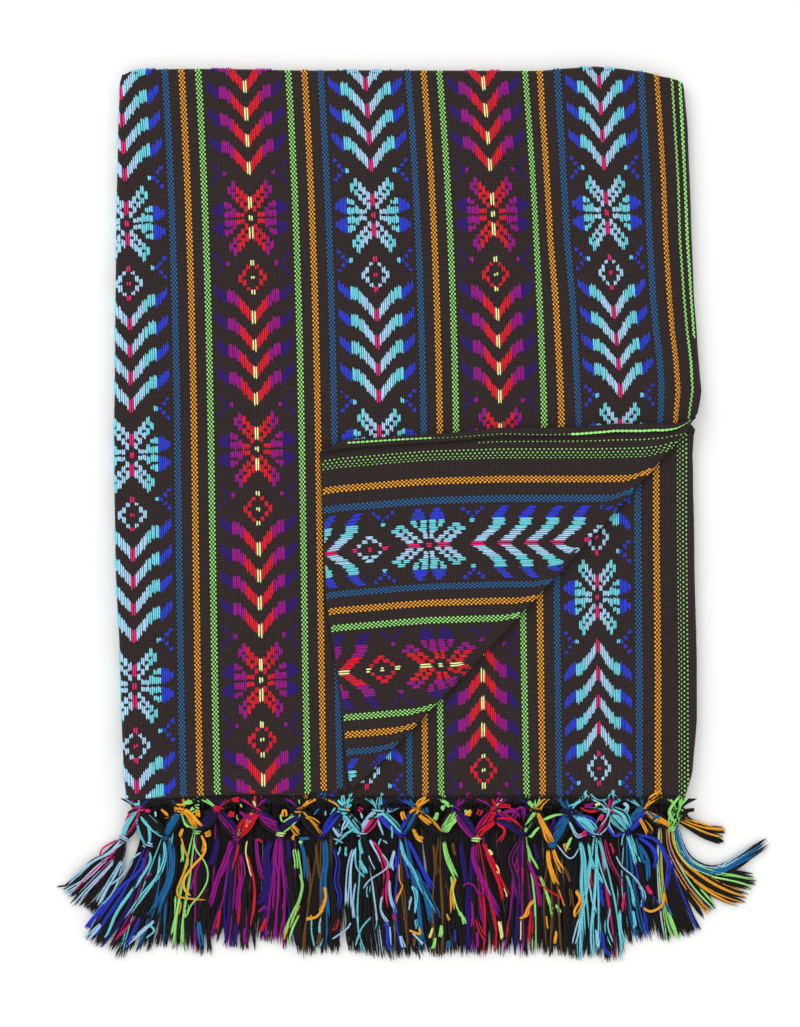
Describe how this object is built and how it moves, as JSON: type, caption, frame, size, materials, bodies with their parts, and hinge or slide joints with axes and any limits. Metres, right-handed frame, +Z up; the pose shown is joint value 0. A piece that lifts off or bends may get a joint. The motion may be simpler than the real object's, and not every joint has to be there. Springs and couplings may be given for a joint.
{
  "type": "folded rebozo shawl",
  "caption": "Woven rebozo shawl folded flat, with one corner turned back and a knotted fringe along one end.",
  "frame": {"origin": "centre of the flat underside of the folded body, on the surface it lies on", "axes": "+X to the viewer's right across the stripes, +Y along the stripes away from the fringe, +Z up from the surface"},
  "size_m": [0.4453, 0.5687, 0.0183],
  "materials": {
    "cloth_front": "near-black plain weave with bright floating pattern yarns",
    "cloth_back": "near-black plain weave, back of the pattern",
    "cloth_under": "near-black plain weave, layer edges",
    "fringe_yarn": "loose twisted yarns, mostly black with bright colours"
  },
  "bodies": {
    "root": {"hidden_layers": "cloth_under", "second_layer": "cloth_back", "top_layer": "cloth_front", "turned_corner": "cloth_back", "fringe_heading": "fringe_yarn", "tassel_01": "fringe_yarn", "tassel_02": "fringe_yarn", "tassel_03": "fringe_yarn", "tassel_04": "fringe_yarn", "tassel_05": "fringe_yarn", "tassel_06": "fringe_yarn", "tassel_07": "fringe_yarn", "tassel_08": "fringe_yarn", "tassel_09": "fringe_yarn", "tassel_10": "fringe_yarn", "tassel_11": "fringe_yarn", "tassel_12": "fringe_yarn", "tassel_13": "fringe_yarn", "tassel_14": "fringe_yarn", "tassel_15": "fringe_yarn", "tassel_16": "fringe_yarn"}
  },
  "joints": []
}
